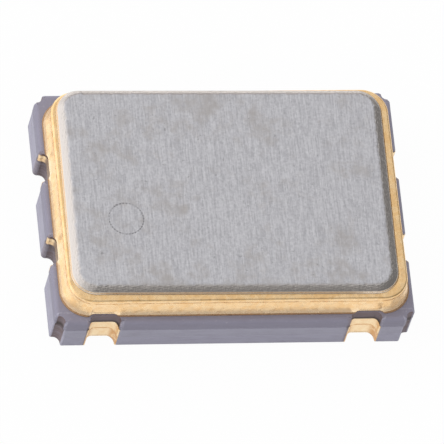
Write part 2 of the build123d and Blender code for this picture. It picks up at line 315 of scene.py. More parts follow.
# Nickel plate of the lid: satin drawn along Y, with stains, pits, a welded rim and a laser ring. Here and
# below, a noise is given as waves per millimetre, detail and roughness, a way as waves along each axis, a
# span as where a change starts and ends, and a depth as how much of the new tone shows
nickel = {
    "light": tone(231, 230, 234), "dark": tone(188, 187, 192), "stain": tone(190, 184, 181),
    "weld": tone(213, 206, 201), "weldBack": tone(192, 185, 180), "line": tone(150, 136, 130),
    # seam is the weld seam's own tan; the lighter seam tone is a painted highlight
    "seam": tone(194, 174, 150), "seamHighlight": tone(240, 226, 208), "burn": tone(116, 114, 118),
    "drawnWay": (26, 1.6, 26), "drawn": (1, 5, 0.7), "hairsWay": (60, 5, 60), "hairs": (1, 3, 0.6),
    "grain": (21, 4, 0.7), "cloud": (0.85, 6, 0.62), "patch": (3.1, 5, 0.6), "bead": (20, 3, 0.6),
    "textureShares": (0.40, 0.25, 0.35), "textureSpan": (0.36, 0.64),
    "stainShares": (0.6, 0.4), "stainSpan": (0.48, 0.66), "stainDepth": 0.7,
    "pits": (11, 2, 0.55), "pitSpan": (0.70, 0.755), "pitDepth": 0.35,
    "backSpan": (1.90, 2.10), "lineDepth": 0.6, "leftSpan": (2.4, 2.9),
    "cornerSpan": (4.3, 4.7), "cornerDepth": 0.8,
    "ringX": -2.052, "ringY": -0.551, "ringRadius": 0.335, "ringLine": 0.022, "ringDots": 34,
    "dotDepth": 0.75, "ringShares": (0.5, 0.5), "ringSpan": (0.38, 0.55), "ringDepth": 0.9,
    "rough": 0.34, "roughShares": (0.10, 0.06, -0.20), "bump": 0.004,
}


def paintNickel(sheet):
    n = nickel
    drawn, hairs, grain, cloud, patch = sheet.noises(n, "drawn", "hairs", "grain", "cloud", "patch")
    pits, bead = sheet.noises(n, "pits", "bead")
    rim = sheet.mark("rim")
    flat = 1 - rim
    x = sheet.axis("X")
    y = sheet.axis("Y")
    texture = sheet.weigh((drawn, hairs, grain), n["textureShares"])
    colour = sheet.blend(sheet.between(texture, *n["textureSpan"]), n["dark"], n["light"])
    stained = sheet.between(sheet.weigh((cloud, patch), n["stainShares"]), *n["stainSpan"])
    colour = sheet.blend(stained * n["stainDepth"] * flat, colour, n["stain"])
    atBack = sheet.between(y, *n["backSpan"])
    colour = sheet.blend(rim, colour, sheet.blend(atBack, n["weld"], n["weldBack"]))
    colour = sheet.blend(sheet.mark("line") * atBack * n["lineDepth"], colour, n["line"])
    atCorner = sheet.between(x - y, *n["cornerSpan"]) * n["cornerDepth"]
    seamLit = sheet.between(0 - x, *n["leftSpan"]).atLeast(atCorner)    # painted highlight on the seam at the left end and the front right corner
    colour = sheet.blend(sheet.mark("edge"), colour, sheet.blend(seamLit, n["seam"], n["seamHighlight"]))
    acrossX = x - n["ringX"]
    acrossY = y - n["ringY"]
    away = (acrossX * acrossX + acrossY * acrossY) ** 0.5
    turn = acrossX.calc("ARCTAN2", acrossY, acrossX)
    dots = turn.calc("COSINE", turn * n["ringDots"]) * 0.5 + 0.5
    ring = sheet.stripe(away, n["ringRadius"], n["ringLine"])
    ring = ring * (dots * n["dotDepth"] + (1 - n["dotDepth"]))
    ring = ring * sheet.between(sheet.weigh((patch, grain), n["ringShares"]), *n["ringSpan"])
    pitted = sheet.between(pits, *n["pitSpan"]) * n["pitDepth"]
    burnt = (ring * n["ringDepth"] + pitted * flat).atMost(1.0)
    colour = sheet.blend(burnt, colour, n["burn"])
    satin = sheet.bump(texture - burnt, n["bump"])
    welded = sheet.bump(bead * rim, n["bump"], satin)
    rough = n["rough"] + sheet.weigh((patch, drawn, rim), n["roughShares"])
    return {"Base Color": colour, "Roughness": rough, "Normal": welded}


# Gold over the seal ring, braze and land: warm, streaked and softly faceted, browner where it thins, with a
# painted highlight along the braze's toe
sealGold = {
    "light": tone(254, 219, 168), "deep": tone(246, 203, 145), "thinAndShaded": tone(150, 118, 92),
    "toeHighlight": tone(255, 240, 212), "toeHighlightDepth": 0.4,
    "cloud": (2.2, 5, 0.6), "patch": (9, 4, 0.6), "lumps": (9, 1, 0.55),
    "facetWay": (9, 9, 9), "streakWay": (11, 11, 1.5), "streak": (1, 3, 0.6),
    "mixShares": (0.25, 0.25, 0.20, 0.30), "mixSpan": (0.38, 0.62),
    "rubSpan": (0.54, 0.70), "thinShares": (0.12, 0.9), "metal": 0.9, "mattDepth": 0.38,
    "rough": 0.18, "roughShares": (0.10, 0.06), "bump": 0.004,
}


def paintSealGold(sheet):
    g = sealGold
    cloud, patch, streak, lumps = sheet.noises(g, "cloud", "patch", "streak", "lumps")
    cells = {"Vector": sheet.place(*g["facetWay"]), "Scale": 1.0}
    facets = sheet.node("ShaderNodeTexVoronoi", None, cells, output="Color")
    facet = sheet.node("ShaderNodeSeparateColor", None, {0: facets})
    mixed = sheet.between(sheet.weigh((cloud, patch, facet, streak), g["mixShares"]), *g["mixSpan"])
    colour = sheet.blend(mixed, g["deep"], g["light"])
    # painted highlight: a pale tone along the braze's toe
    colour = sheet.blend(sheet.mark("toeHighlight") * g["toeHighlightDepth"], colour, g["toeHighlight"])
    rubbed = sheet.between(patch, *g["rubSpan"])
    thinAndShaded = sheet.weigh((rubbed, sheet.mark("worn")), g["thinShares"]).atMost(1.0)
    return {
        "Base Color": sheet.blend(thinAndShaded, colour, g["thinAndShaded"]),
        "Metallic": g["metal"] - sheet.mark("matt") * g["mattDepth"],
        "Roughness": g["rough"] + sheet.weigh((patch, facet), g["roughShares"]),
        "Normal": sheet.bump(lumps, g["bump"]),
    }


# Gold of the terminals and side contacts: matt plating over a printed, slightly lumpy metal
contactGold = {
    "light": tone(254, 232, 194), "deep": tone(246, 214, 168), "thinAndShaded": tone(206, 146, 78),
    "backShade": tone(128, 104, 92), "backShadeDepth": 0.8, "lumps": (7, 4, 0.6), "grain": (36, 3, 0.55),
    "mixShares": (0.6, 0.4), "mixSpan": (0.36, 0.64), "creaseShadeSpan": (0.30, 0.52), "creaseShadeDepth": 0.9,
    "rough": 0.34, "roughShares": (0.14, 0.06), "bump": 0.008,
}


def paintContactGold(sheet):
    g = contactGold
    lumps, grain = sheet.noises(g, "lumps", "grain")
    mixed = sheet.weigh((lumps, grain), g["mixShares"])
    colour = sheet.blend(sheet.between(mixed, *g["mixSpan"]), g["deep"], g["light"])
    # painted shade: the crease line, its tint partly real, and both sides below it take the darker orange
    # tone
    crease = sheet.mark("crease") * sheet.between(lumps, *g["creaseShadeSpan"])
    colour = sheet.blend(crease * g["creaseShadeDepth"], colour, g["thinAndShaded"])
    # painted shade on the back wall of a notch's lining
    colour = sheet.blend(sheet.mark("backShade") * g["backShadeDepth"], colour, g["backShade"])
    rough = g["rough"] + sheet.weigh((lumps, grain), g["roughShares"])
    return {"Base Color": colour, "Roughness": rough, "Normal": sheet.bump(mixed, g["bump"])}


# Fired ceramic: grey lilac, darker in the upper layers, with grains, edges lighter from wear and a painted
# highlight, notches darkened by painted shade, and a painted shadow under the shelf in the notches
ceramic = {
    "upper": tone(126, 123, 138), "lower": tone(148, 146, 161), "cut": tone(108, 102, 114),
    # notch is a painted shade tone for the notch walls
    "notch": tone(104, 88, 88), "fleck": tone(172, 168, 180), "worn": tone(176, 174, 188),
    # painted shadow under the shelf: a near-black stripe tone, how far it reaches and how much of it shows
    "shelfShadow": tone(44, 32, 30), "shelfShadowReach": 0.15, "shelfShadowDepth": 0.9, "layerReach": 0.02,
    "grain": (60, 3, 0.6), "speck": (24, 3, 0.6), "cloud": (2.4, 5, 0.6), "halves": (0.5, 0.5),
    "smearWay": (1.6, 1.6, 16), "smear": (1, 4, 0.6), "smearSpan": (0.42, 0.68), "smearDepth": 0.25,
    "fleckSpan": (0.62, 0.74), "fleckDepth": 0.4, "cutSpan": (0.64, 0.75), "cutDepth": 0.35,
    "wearAndHighlightSpan": (0.42, 0.62), "wearAndHighlightDepth": 0.5,
    "layersWay": (2, 2, 30), "layers": (1, 3, 0.6), "layersSpan": (0.36, 0.60), "layersDepth": 0.3,
    "notchShadeDepth": 0.65, "rough": 0.48, "roughShares": (0.14, 0.08),
    "bump": 0.004, "bumpShares": (0.6, 0.4),
}


def paintCeramic(sheet):
    c = ceramic
    grain, speck, cloud, smear, layers = sheet.noises(c, "grain", "speck", "cloud", "smear", "layers")
    level = sheet.axis("Z")
    hollow = sheet.mark("hollow")
    low = 1 - sheet.between(level, shelfLevel - c["layerReach"], shelfLevel)
    colour = sheet.blend(low, c["upper"], c["lower"])
    smeared = sheet.between(sheet.weigh((cloud, smear), c["halves"]), *c["smearSpan"])
    colour = sheet.blend(smeared * c["smearDepth"], colour, c["cut"])
    colour = sheet.blend(sheet.between(speck, *c["fleckSpan"]) * c["fleckDepth"], colour, c["fleck"])
    colour = sheet.blend(sheet.between(1 - speck, *c["cutSpan"]) * c["cutDepth"], colour, c["cut"])
    # edges, grooves and notch mouths take the lighter worn tone in patches: partly wear, partly a painted
    # highlight
    wearAndHighlight = sheet.between(sheet.weigh((speck, cloud), c["halves"]), *c["wearAndHighlightSpan"])
    colour = sheet.blend(sheet.mark("edge") * wearAndHighlight * c["wearAndHighlightDepth"], colour, c["worn"])
    # painted shade in the notches: their walls take the dark brown notch tone, a little uneven
    shade = sheet.between(layers, *c["layersSpan"]) * c["layersDepth"] + c["notchShadeDepth"]
    colour = sheet.blend(hollow * shade, colour, c["notch"])
    # painted shadow under the shelf's overhang: a dark stripe at the shelf level inside the notches
    shelfShadow = hollow * sheet.stripe(level, shelfLevel, c["shelfShadowReach"])
    colour = sheet.blend(shelfShadow * c["shelfShadowDepth"], colour, c["shelfShadow"])
    rough = c["rough"] + sheet.weigh((grain, cloud), c["roughShares"])
    height = sheet.weigh((grain, speck), c["bumpShares"])
    return {"Base Color": colour, "Roughness": rough, "Normal": sheet.bump(height, c["bump"])}


# Pieces inside the package share one way of painting; each slot has two tones, the way of its grain, how
# metallic it is and its roughness
inner = {
    "wire_gold": (tone(240, 204, 132), tone(216, 170, 92), (30, 30, 30), 1.0, 0.24),
    "film_gold": (tone(238, 206, 140), tone(220, 180, 110), (14, 14, 14), 1.0, 0.20),
    "tungsten": (tone(128, 128, 132), tone(96, 96, 102), (40, 40, 40), 1.0, 0.50),
    "silver_adhesive": (tone(206, 204, 198), tone(160, 158, 152), (36, 36, 36), 0.7, 0.50),
    "quartz": (tone(226, 232, 234), tone(206, 214, 218), (3, 3, 3), 0.0, 0.10),
    "silicon": (tone(92, 96, 108), tone(66, 68, 80), (12, 12, 3), 0.6, 0.22),
    "pad_aluminium": (tone(222, 222, 224), tone(186, 186, 190), (34, 34, 34), 1.0, 0.32),
    "contact_gold": (tone(246, 216, 166), tone(226, 186, 128), (22, 22, 22), 1.0, 0.36),
}
innerLook = {
    "grain": (1, 4, 0.6), "cloud": (5, 4, 0.55), "mixShares": (0.5, 0.5), "mixSpan": (0.36, 0.64),
    "roughShares": (0.10, 0.06), "bump": 0.003,
}


def innerFinish(slot):
    light, deep, way, metal, rough = inner[slot]
    look = {**innerLook, "grainWay": way}

    def paint(sheet):
        grain, cloud = sheet.noises(look, "grain", "cloud")
        mixed = sheet.weigh((grain, cloud), look["mixShares"])
        return {
            "Base Color": sheet.blend(sheet.between(mixed, *look["mixSpan"]), deep, light),
            "Roughness": rough + sheet.weigh((grain, cloud), look["roughShares"]),
            "Normal": sheet.bump(grain, look["bump"]),
        }

    return makeFinish(slot + "_inside", paint, Metallic=metal)


nickelFinish = makeFinish("nickel_plate", paintNickel, Metallic=1.0)
sealFinish = makeFinish("seal_gold", paintSealGold)
contactFinish = makeFinish("contact_gold", paintContactGold, Metallic=1.0)
ceramicFinish = makeFinish("ceramic", paintCeramic, Specular_IOR_Level=0.35)
print("finishes made")


# Profile carried round a rounded rectangle: each row is a loop set in from the outer one, at its own
# height above the base and with its own corner; every loop has the same number of points
frameSteps = {"arc": 28, "run": 150}
frameCorners = np.array([[1, -1], [1, 1], [-1, 1], [-1, -1]])


def frameLoop(half, corner, steps=frameSteps):
    return roundedLoop(frameCorners * half, np.full(4, corner), steps)


def carryFrame(half, base, profile, corners):
    return np.stack([
        atHeight(frameLoop(half - inset, corner), base + z)
        for (inset, z), corner in zip(profile, corners)
    ])


# Lid: weld bead, then a rolled rim that falls by a power of the distance from the flat; the roll's inner
# end wanders as a weld does and lies further out along the back; the whole lid is a little off the middle
# of the ring, and turned
lidShape = {
    "setback": 0.12, "grow": (0, 0.028), "shift": (-0.02, 0.058), "turn": -0.5, "corner": 0.46,
    "rimWidth": 0.17, "rimDrop": 0.05, "roll": 1.4, "rimRows": 15, "backNarrow": 0.06, "backShare": 0.2,
    "edge": 0.012, "brow": (0.3, 0.2), "bead": 0.022, "beadPower": 1.5, "beadRows": 7,
    "crease": 0.035, "creaseRows": (0.6, 1.4, 2.5, 4),
    "scallop": 0.010, "scallopWaves": (37, 58, 83, 121, 166, 229), "scallopSpan": (0.4, 0.9),
    "lump": 0.0018, "lumpWaves": (61, 97, 143, 190, 233), "lumpLeans": (3, -4, 6, -7, 2), "seed": 4,
    "rimSpan": (0.65, 1.03), "seamSpan": (-0.2, 1.6), "lineAt": 0.15, "lineReach": 0.035,
}


# Rows of the lid from the foot of its bead up to the flat: how far in from the outline, and how high
def lidProfile(thickness):
    s = lidShape
    wallTop = thickness - s["rimDrop"]
    t = np.linspace(0, 1, s["beadRows"])
    bead = np.stack([-s["bead"] * (1 - t) ** s["beadPower"], t * (wallTop - s["edge"])], axis=1)
    brow = np.array([[s["brow"][0] * s["edge"], wallTop - s["brow"][1] * s["edge"]]])
    insets = np.concatenate([
        np.linspace(s["edge"], s["rimWidth"], s["rimRows"]),
        s["rimWidth"] + s["crease"] * np.array(s["creaseRows"]),
    ])
    drop = s["rimDrop"] * np.clip(1 - insets / s["rimWidth"], 0, 1) ** s["roll"]
    return np.concatenate([bead, brow, np.stack([insets, thickness - drop], axis=1)])


def buildLid():
    s = lidShape
    low, high = nodeBox("lid")
    half = ringHigh[:2] - s["setback"] + np.array(s["grow"])
    profile = lidProfile(high[2] - low[2])
    inset = profile[:, 0]
    onWidth = inset / s["rimWidth"]
    points = carryFrame(half, low[2], profile, s["corner"] - inset)
    shape = points.shape[:2]
    loop = points[0, :, :2].copy()
    share = np.broadcast_to(loopShare(loop), shape)
    settled = s["rimWidth"] + s["creaseRows"][-1] * s["crease"]
    held = ease(onWidth, *s["scallopSpan"]) * (1 - ease(inset, s["rimWidth"] + s["crease"], settled))
    wander = s["scallop"] * held[:, None] * ripple(share, s["scallopWaves"], s["seed"])
    onBack = ease(loop[:, 1], half[1] - s["corner"], half[1] - s["backShare"] * s["corner"])
    narrowed = np.clip(onWidth, 0, 1) * (1 - ease(inset, s["rimWidth"], settled))
    wander = wander - s["backNarrow"] * np.outer(narrowed, onBack)
    points[..., :2] += wander[..., None] * inwardOf(loop)
    onRim = ease(inset, 0, 2 * s["edge"]) * (1 - ease(inset, s["rimWidth"] - s["crease"], s["rimWidth"]))
    lumps = ripple(share, s["lumpWaves"], s["seed"], alongRows(onWidth, shape), s["lumpLeans"])
    points[..., 2] += s["lump"] * onRim[:, None] * lumps
    c = math.cos(math.radians(s["turn"]))
    t = math.sin(math.radians(s["turn"]))
    points[..., :2] = points[..., :2] @ np.array([[c, t], [-t, c]]) + np.array(s["shift"])
    marks = {
        "rim": alongRows(1 - ease(onWidth, *s["rimSpan"]), shape),
        "edge": alongRows(1 - ease(inset / s["edge"], *s["seamSpan"]), shape),
        "line": alongRows(1 - ease(np.abs(inset - s["lineAt"]), 0, s["lineReach"]), shape),
    }
    faces = gridQuads(*shape) + capFaces(*shape)
    makePiece("lid_plate", points, faces, nickelFinish, ["lid"], marks)


# Seal ring: wall gently rippled by a sum of leaning waves, quarter-circle lip, flat top and inner wall
ringShape = {
    "corner": 0.50, "wall": 0.40, "innerCorner": 0.25, "lip": 0.04, "lipEnd": 1.3, "foot": 0.008,
    "flatFrom": 0.12, "wallRows": 13, "lipRows": 11, "mattShare": 0.4,
    "rightReach": 0.03, "toeReach": 0.035, "reachSpan": (1.7, 2.75),
    "wave": 0.002, "waves": (31, 47, 68, 89, 112, 139), "leans": (0.6, -0.8, 1.1, -0.5, 0.9, -1.2),
    "waveFrom": (0.22, 0.45), "waveTo": (0.80, 0.93), "seed": 11,
}


# Ring, braze and land are gold frames that reach a little further out on the right than on the left
def makeGoldFrame(name, points, node, marks):
    points[..., 0] += ringShape["rightReach"] * ease(points[..., 0], *ringShape["reachSpan"])
    faces = gridQuads(*points.shape[:2], closedRows=True)
    makePiece(name, points, faces, sealFinish, [node], marks)


def buildRing():
    s = ringShape
    height = ringHigh[2] - ringLow[2]
    swing = np.linspace(0, np.pi / 2, s["lipRows"])
    climbs = np.linspace(s["foot"], height - s["lip"], s["wallRows"])
    wall = np.stack([np.zeros_like(climbs), climbs], axis=1)
    lip = np.stack([s["lip"] * (1 - np.cos(swing)), height - s["lip"] * (1 - np.sin(swing))], axis=1)[1:]
    rest = np.array([
        [s["lipEnd"] * s["lip"], height], [s["flatFrom"], height],
        [s["wall"] - s["foot"], height], [s["wall"], height - s["foot"]],
        [s["wall"], s["foot"]], [s["wall"] - s["foot"], 0], [s["foot"], 0],
    ])
    profile = np.concatenate([wall, lip, rest])
    inset, climb = profile[:, 0], profile[:, 1] / height
    share = np.clip((inset - s["flatFrom"]) / (s["wall"] - s["flatFrom"]), 0, 1)
    corners = (1 - share) * (s["corner"] - np.minimum(inset, s["flatFrom"])) + share * s["innerCorner"]
    points = carryFrame(ringHigh[:2], ringLow[2], profile, corners)
    shape = points.shape[:2]
    loop = points[0, :, :2].copy()
    around = np.broadcast_to(loopShare(loop), shape)
    onWall = ease(climb, *s["waveFrom"]) * (1 - ease(climb, *s["waveTo"])) * (inset < s["foot"])
    waves = ripple(around, s["waves"], s["seed"], alongRows(climb, shape), s["leans"])
    points[..., :2] += (s["wave"] * onWall[:, None] * (waves + 1))[..., None] * inwardOf(loop)
    marks = {"matt": alongRows(1 - ease(inset, 0, s["mattShare"] * s["lip"]), shape)}
    makeGoldFrame("seal_frame", points, "seal_ring", marks)


# Sizes of the edge notches in the body's upper and lower part, how rounded the body's upright edges are,
# and how far the gold keeps off the notches, or hangs over them at the ends
notchShape = {
    "upperWidth": 0.585, "upperDepth": 0.18, "upperCorner": 0.12, "upperEdge": 0.045,
    "lowerWidth": 0.595, "lowerDepth": 0.23, "lowerCorner": 0.19, "lowerEdge": 0.035,
    "upperSideCorner": 0.12, "upperSideEdge": 0.05, "lowerSideCorner": 0.14, "lowerSideEdge": 0.08,
    "upperCornerNotch": 0.17, "lowerCornerNotch": 0.19, "cornerShare": 0.9, "leastEdge": 0.003,
    "sideReach": 0.02, "keepOff": 0.025, "endKeepOff": -0.02,
}


# Depth of bite that the notches take out of a frame set in by margin from the body's sides; at its ends
# the frame reaches further out
def notchBite(loop, margin, further):
    n = notchShape
    flatHalf = n["upperWidth"] / 2 - n["upperCorner"]

    def bite(along, centre, onSide, margin):
        past = np.maximum(np.abs(np.abs(along) - centre) - flatHalf, 0)
        arc = np.sqrt(np.maximum(n["upperCorner"] ** 2 - past ** 2, 0))
        depth = n["upperDepth"] - n["upperCorner"] + arc
        return np.where(onSide, np.clip(depth - margin, 0, None), 0)

    reach = np.abs(loop).max(axis=0) - np.abs(loop)
    onLong = reach[:, 1] < n["sideReach"]
    onShort = reach[:, 0] < n["sideReach"]
    onEnds = bite(loop[:, 1], contactAt, onShort, margin - further - n["endKeepOff"])
    return bite(loop[:, 0], terminalAt, onLong, margin - n["keepOff"]) + onEnds


# Outer edge of the braze and of the land: the notches bite into it, and both its ends reach further out;
# held says how much of that each row takes
def shapeEdge(points, loop, margin, held):
    further = ringShape["toeReach"] * ease(np.abs(loop[:, 0]), *ringShape["reachSpan"])
    bite = np.outer(held, notchBite(loop, margin, further))
    points[..., :2] += bite[..., None] * inwardOf(loop)
    points[..., 0] += np.outer(held, further) * np.sign(points[..., 0])


# Braze: thin toe on the land, then a hollow slope that climbs the ring's wall, and a film under it;
# the slope stands off the wall by two powers of the height still to climb, a slow one and a steep one
brazeShape = {
    "corner": 0.55, "innerCorner": 0.25, "toe": 0.012, "toeRound": ((0.3, 0), (0, 0.4), (0.1, 0.8)),
    "rise": 0.38, "tip": 0.002, "film": 0.02, "setback": 0.026, "tuck": 0.006,
    "slow": 1.25, "slowShare": 0.88, "steep": 14, "rows": 33, "rowPower": 1.6,
    "wave": 0.0022, "waves": (29, 43, 61, 84, 107, 151), "waveFrom": (0.1, 0.5), "waveTo": (0.8, 1),
    "seed": 8, "heldSpan": (0.2, 1), "toeHighlightSpan": (0.1, 0.55),
}


def buildBraze():
    s = brazeShape
    low, high = nodeBox("braze_joint")
    outer = high[:2] - s["setback"]
    reach = (outer - ringHigh[:2])[0]
    t = np.linspace(0, 1, s["rows"]) ** s["rowPower"]
    left = 1 - t
    stand = s["slowShare"] * left ** s["slow"] + (1 - s["slowShare"]) * left ** s["steep"]
    off = s["tip"] + (reach - s["tip"]) * stand
    curve = np.stack([reach - off, s["toe"] + (s["rise"] - s["toe"]) * t], axis=1)[1:]
    inside = reach + ringShape["wall"]
    rest = np.array([
        [reach, s["rise"]], [reach + s["tuck"], s["film"]], [inside, s["film"]], [inside, 0],
    ])
    profile = np.concatenate([s["toe"] * np.array(s["toeRound"]), curve, rest])
    onReach = profile[:, 0] / reach
    deep = np.clip((profile[:, 0] - reach) / ringShape["wall"], 0, 1)
    corners = s["corner"] + (ringShape["corner"] - s["corner"]) * np.clip(onReach, 0, 1)
    corners = corners + (s["innerCorner"] - ringShape["corner"]) * deep
    points = carryFrame(outer, low[2], profile, corners)
    shape = points.shape[:2]
    loop = points[1, :, :2].copy()
    onCurve = ease(onReach, *s["waveFrom"]) * (1 - ease(onReach, *s["waveTo"]))
    waves = np.outer(onCurve, ripple(loopShare(loop), s["waves"], s["seed"]))
    points[..., :2] += s["wave"] * waves[..., None] * inwardOf(loop)
    shapeEdge(points, loop, (bodyHalf - outer)[0], 1 - ease(onReach, *s["heldSpan"]))
    # the toe's painted highlight mark fades towards the ring
    marks = {"matt": np.ones(shape), "toeHighlight": alongRows(1 - ease(onReach, *s["toeHighlightSpan"]), shape)}
    makeGoldFrame("braze_fillet", points, "braze_joint", marks)


# Land: thin plated strip on the rim, its outer edge bitten at the notches
landShape = {
    "corner": 0.55, "innerCorner": 0.25, "edge": 0.005, "bend": 0.3, "innerLip": 0.05, "setback": 0.012,
    "heldSpan": (0.1, 0.9),
}


def buildLand():
    s = landShape
    low, high = nodeBox("seal_land")
    height = high[2] - low[2]
    outer = high[:2] - s["setback"]
    wide = (outer - ringHigh[:2])[0] + ringShape["wall"] + s["innerLip"]
    bend = s["bend"] * s["edge"]
    profile = np.array([
        [0, 0], [0, height - s["edge"]], [bend, height - bend], [s["edge"], height],
        [wide, height], [wide, 0],
    ])
    t = profile[:, 0] / wide
    corners = s["corner"] + (s["innerCorner"] - s["corner"]) * t
    points = carryFrame(outer, low[2], profile, corners)
    loop = points[0, :, :2].copy()
    shapeEdge(points, loop, (bodyHalf - outer)[0], 1 - ease(t, *s["heldSpan"]))
    everywhere = np.ones(points.shape[:2])
    makeGoldFrame("land_strip", points, "seal_land", {"worn": everywhere, "matt": everywhere})


# Local x runs along a side and local y into the body; turn counts quarter turns from the front side
def seat(local, turn, mouth):
    c, s = [(1, 0), (0, 1), (-1, 0), (0, -1)][turn]
    x = mouth[0] + c * local[..., 0] - s * local[..., 1]
    y = mouth[1] + s * local[..., 0] + c * local[..., 1]
    return np.stack([x, y], axis=-1)


# Outline of the package seen from above: four sides, each with two notches and a corner notch at its end
packageSteps = {"arc": 8, "run": 16}
mouthCorners = [1] + [1, 0, 0, 1] * 2 + [1, 0]      # which corners of one side are outer edges
hollowCorners = [0] + [0, 1, 1, 0] * 2 + [0, 1]     # which lie in a notch, and which runs do
hollowRuns = [0] + [1, 1, 1, 0] * 2 + [1, 1]
mouthShade = 0.6                                    # painted shade also darkens the first edge of a mouth
shadeCorners = [0] + [mouthShade, 1, 1, 0] * 2 + [0, 1]


def packageOutline(layer, inset):
    n = notchShape
    wide = n[layer + "Width"] / 2 + inset
    deep = n[layer + "Depth"] + inset
    bite = n[layer + "CornerNotch"]
    corners, radii = [], []
    for turn in range(4):
        kind = layer + ("Side" if turn % 2 else "")
        sharp = max(n[kind + "Edge"] - inset, n["leastEdge"])
        hollow = n[kind + "Corner"] + inset
        last = max(n[layer + "Edge"] - inset, n["leastEdge"])
        radii += [last] + [sharp, hollow, hollow, sharp] * 2 + [last, (bite - last) * n["cornerShare"]]
        alongHalf, sideHalf = bodyHalf if turn % 2 == 0 else bodyHalf[::-1]
        centre = terminalAt if turn % 2 == 0 else contactAt
        end = alongHalf - bite - inset
        side = [(-end, inset)]
        for notch in (-centre, centre):
            near, far = notch - wide, notch + wide
            side += [(near, inset), (near, deep), (far, deep), (far, inset)]
        side += [(end, inset), (end, bite + inset)]
        mouth = [(0, -sideHalf), (sideHalf, 0), (0, sideHalf), (-sideHalf, 0)][turn]
        corners.append(seat(np.array(side), turn, mouth))
    return roundedLoop(np.concatenate(corners), np.array(radii), packageSteps)


# A value for each point of the outline, given for each corner and each run of one side
def outlineMarks(onCorner, onRun):
    arcs = np.repeat(np.array(onCorner * 4, float)[:, None], packageSteps["arc"] + 1, axis=1)
    runs = np.repeat(np.array(onRun * 4, float)[:, None], packageSteps["run"] - 1, axis=1)
    return np.concatenate([arcs, runs], axis=1).ravel()


# Ceramic body: a grid up the notched sides and over their rounded top edge, a grid down the stepped cavity,
# and a flat rim filled in between them; rim, bond and well are the cavity's openings from the top down, each
# with the x of its middle, two half sizes and a corner
ceramicShape = {
    "bevel": 0.014, "groove": 0.005, "score": 0.002, "brow": 0.085, "notchBrow": 0.15, "browSteps": 7,
    "browEven": 5, "support": 0.012, "mouthWearAndHighlight": 0.8,
    "wear": 0.0025, "wearWaves": (90, 141, 203, 266, 340), "seed": 23,
    "rim": (0, 2.75, 1.75, 0.25), "bond": (0.275, 2.375, 1.65, 0.20), "well": (0.275, 1.20, 1.00, 0.15),
}
cavitySteps = {"arc": 6, "run": 12}


def buildCeramic():
    s = ceramicShape
    bottom, top = bodyLow[2], bodyHigh[2]
    b, g, k = s["bevel"], s["groove"], s["score"]
    lowerRows = [
        (b, bottom), (0.3 * b, bottom + 0.3 * b), (0, bottom + b), (0, bottom + 3 * b),
        (0, floorLevel - 4 * k), (k, floorLevel), (0, floorLevel + 4 * k),
        (0, shelfLevel - 5 * g), (0, shelfLevel - 2 * g), (0.4 * g, shelfLevel - 0.6 * g), (g, shelfLevel),
    ]
    upperRows = [
        (g, shelfLevel + 0.1 * g), (0.4 * g, shelfLevel + 0.6 * g), (0, shelfLevel + 2 * g),
        (0, shelfLevel + 5 * g), (0, ledgeLevel - 2 * s["brow"]),
    ]
    rows = [atHeight(packageOutline("lower", inset), z) for inset, z in lowerRows]
    rows += [atHeight(packageOutline("upper", inset), z) for inset, z in upperRows]
    wide = 1 - (1 - s["notchBrow"]) * smoothLoop(outlineMarks(hollowCorners, hollowRuns), s["browEven"])
    plain = packageOutline("upper", 0)
    full = packageOutline("upper", s["brow"])
    for swing in np.linspace(0, np.pi / 2, s["browSteps"]):
        moved = plain + (full - plain) * (wide * (1 - math.cos(swing)))[:, None]
        rows.append(np.column_stack([moved, top - s["brow"] * wide * (1 - math.sin(swing))]))
    rimLoop = rows[-1][:, :2] + inwardOf(plain) * s["support"]
    rows.append(atHeight(rimLoop, top))
    outside = np.stack(rows)
    insets = np.array([inset for inset, z in lowerRows + upperRows] + [0] * (s["browSteps"] + 1))
    onEdge = (insets > 0.2 * k).astype(float)
    bite = s["wear"] * np.maximum(ripple(loopShare(rimLoop), s["wearWaves"], s["seed"]), 0)
    outside[..., :2] += (onEdge[:, None] * bite)[..., None] * inwardOf(rimLoop)

    def opening(name, grown=0.0):
        x, halfX, halfY, corner = s[name]
        return frameLoop(np.array([halfX, halfY]) + grown, corner + grown, cavitySteps) + np.array([x, 0])

    steps = [("rim", top, ledgeLevel), ("bond", ledgeLevel, shelfLevel), ("well", shelfLevel, floorLevel)]
    inside = [atHeight(opening("rim", s["support"]), top)]
    for name, above, below in steps:
        inside += [atHeight(opening(name), above), atHeight(opening(name), below)]
    inside = np.stack(inside)
    count, columns = outside.shape[:2]
    first = count * columns
    faces = gridQuads(count, columns) + gridQuads(*inside.shape[:2], first=first)
    rim = fillBetween(rimLoop, inside[0, :, :2])
    flat = range(len(faces), len(faces) + len(rim))
    faces += np.where(rim < columns, rim + first - columns, rim - columns + first).tolist()
    faces.append(list(range(columns))[::-1])
    last = first + (inside.shape[0] - 1) * inside.shape[1]
    faces.append(list(range(last, last + inside.shape[1])))
    points = np.concatenate([outside.reshape(-1, 3), inside.reshape(-1, 3)])
    # the mouths' outer edges get the lighter edge tone too, from wear and a painted highlight
    onMouth = outlineMarks(mouthCorners, [0] * len(hollowRuns))
    edge = np.maximum(onEdge[:, None], s["mouthWearAndHighlight"] * onMouth)
    # hollow marks the upright notch walls that take the painted shade
    upright = np.arange(count) < count - s["browSteps"] // 2
    hollow = np.outer(upright, outlineMarks(shadeCorners, hollowRuns))
    unmarked = np.zeros(inside.shape[0] * inside.shape[1])
    marks = {"edge": np.append(edge, unmarked), "hollow": np.append(hollow, unmarked)}
    makePiece("ceramic_package", points, faces, ceramicFinish, ["ceramic_body"], marks, flat)


# Path along the wall of one notch, from one side of its mouth to the other, set off from the wall
notchSteps = {"side": 8, "arc": 12, "back": 12}


